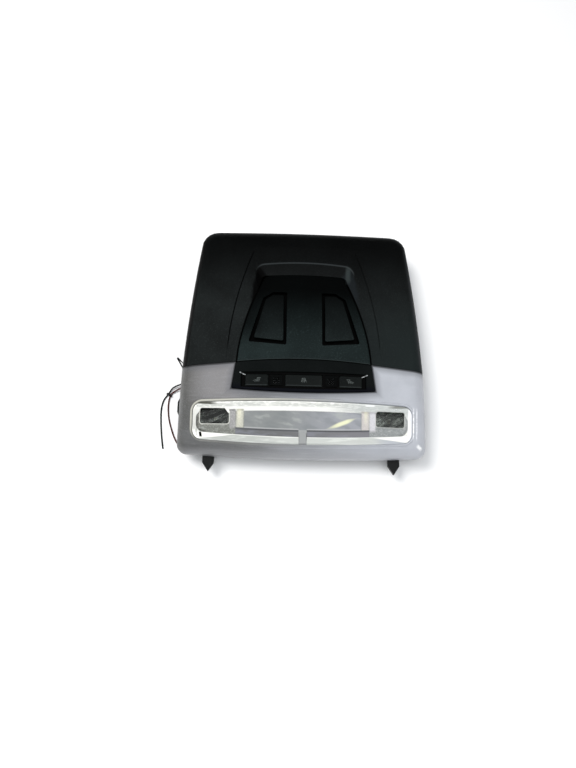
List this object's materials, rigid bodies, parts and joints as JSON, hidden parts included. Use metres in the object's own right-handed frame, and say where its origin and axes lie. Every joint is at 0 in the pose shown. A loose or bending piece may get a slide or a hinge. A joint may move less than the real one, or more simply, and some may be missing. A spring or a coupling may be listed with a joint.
{
  "type": "car interior light",
  "caption": "Roof console interior light for a car: crowned two-tone housing, dished clear lens, switch strip with push buttons, two blanked wells and locating tongues.",
  "frame": {"origin": "middle of the flat back of the housing, on the console's centre line", "axes": "+X across the console to the right as seen with the lamp end nearest, +Y towards the narrow dark end, +Z out of the visible face"},
  "size_m": [0.2694, 0.25, 0.056],
  "materials": {
    "base_housing": "moulded black, fine matt",
    "console_cover": "anthracite, fine leather-like grain",
    "lamp_bezel": "pearl grey, satin",
    "centre_panel": "anthracite, fine grain",
    "left_blanking_cover": "anthracite, fine grain",
    "right_blanking_cover": "anthracite, fine grain",
    "switch_bezel": "near black, satin gloss",
    "left_reading_button": "dark, soft touch",
    "centre_light_button": "dark, soft touch",
    "right_reading_button": "dark, soft touch",
    "left_microphone_grille": "near black, matt",
    "right_microphone_grille": "near black, matt",
    "left_microphone": "pressed can",
    "right_microphone": "pressed can",
    "lamp_lens": "clear, frosted on the sloping bands",
    "centre_diffuser": "opal white light guide",
    "left_reflector": "dark metallised",
    "right_reflector": "dark metallised",
    "left_reading_led": "lens over a yellow chip",
    "right_reading_led": "lens over a yellow chip",
    "centre_leds": "lens over a yellow chip",
    "circuit_board": "green laminate",
    "left_switch": "black",
    "centre_switch": "black",
    "right_switch": "black",
    "left_plunger": "ivory",
    "centre_plunger": "ivory",
    "right_plunger": "ivory",
    "connector_header": "black",
    "connector_pins": "plated",
    "left_spring_clip": "dark spring strip",
    "cover_screws": "zinc plated",
    "board_screws": "zinc plated",
    "lead_grommet": "black rubber",
    "black_lead": "thin insulated wire",
    "red_lead": "thin insulated wire",
    "lead_tie": "dark band"
  },
  "bodies": {
    "housing": {"base_housing": "base_housing", "console_cover": "console_cover", "lamp_bezel": "lamp_bezel", "centre_panel": "centre_panel", "left_blanking_cover": "left_blanking_cover", "right_blanking_cover": "right_blanking_cover", "switch_bezel": "switch_bezel", "left_microphone_grille": "left_microphone_grille", "right_microphone_grille": "right_microphone_grille", "left_microphone": "left_microphone", "right_microphone": "right_microphone", "lamp_lens": "lamp_lens", "centre_diffuser": "centre_diffuser", "left_reflector": "left_reflector", "right_reflector": "right_reflector", "left_reading_led": "left_reading_led", "right_reading_led": "right_reading_led", "centre_leds": "centre_leds", "circuit_board": "circuit_board", "left_switch": "left_switch", "centre_switch": "centre_switch", "right_switch": "right_switch", "connector_header": "connector_header", "connector_pins": "connector_pins", "left_spring_clip": "left_spring_clip", "cover_screws": "cover_screws", "board_screws": "board_screws", "lead_grommet": "lead_grommet", "black_lead": "black_lead", "red_lead": "red_lead", "lead_tie": "lead_tie"},
    "left_button": {"left_reading_button": "left_reading_button", "left_plunger": "left_plunger"},
    "centre_button": {"centre_light_button": "centre_light_button", "centre_plunger": "centre_plunger"},
    "right_button": {"right_reading_button": "right_reading_button", "right_plunger": "right_plunger"}
  },
  "joints": [
    {"name": "left_button_press", "type": "slide", "parent": "housing", "child": "left_button", "axis": [0, 0, -1], "range_m": [0, 0.0012], "stiffness_N_per_m": 1500, "springref_m": -0.001},
    {"name": "centre_button_press", "type": "slide", "parent": "housing", "child": "centre_button", "axis": [0, 0, -1], "range_m": [0, 0.0012], "stiffness_N_per_m": 1500, "springref_m": -0.001},
    {"name": "right_button_press", "type": "slide", "parent": "housing", "child": "right_button", "axis": [0, 0, -1], "range_m": [0, 0.0012], "stiffness_N_per_m": 1500, "springref_m": -0.001}
  ]
}
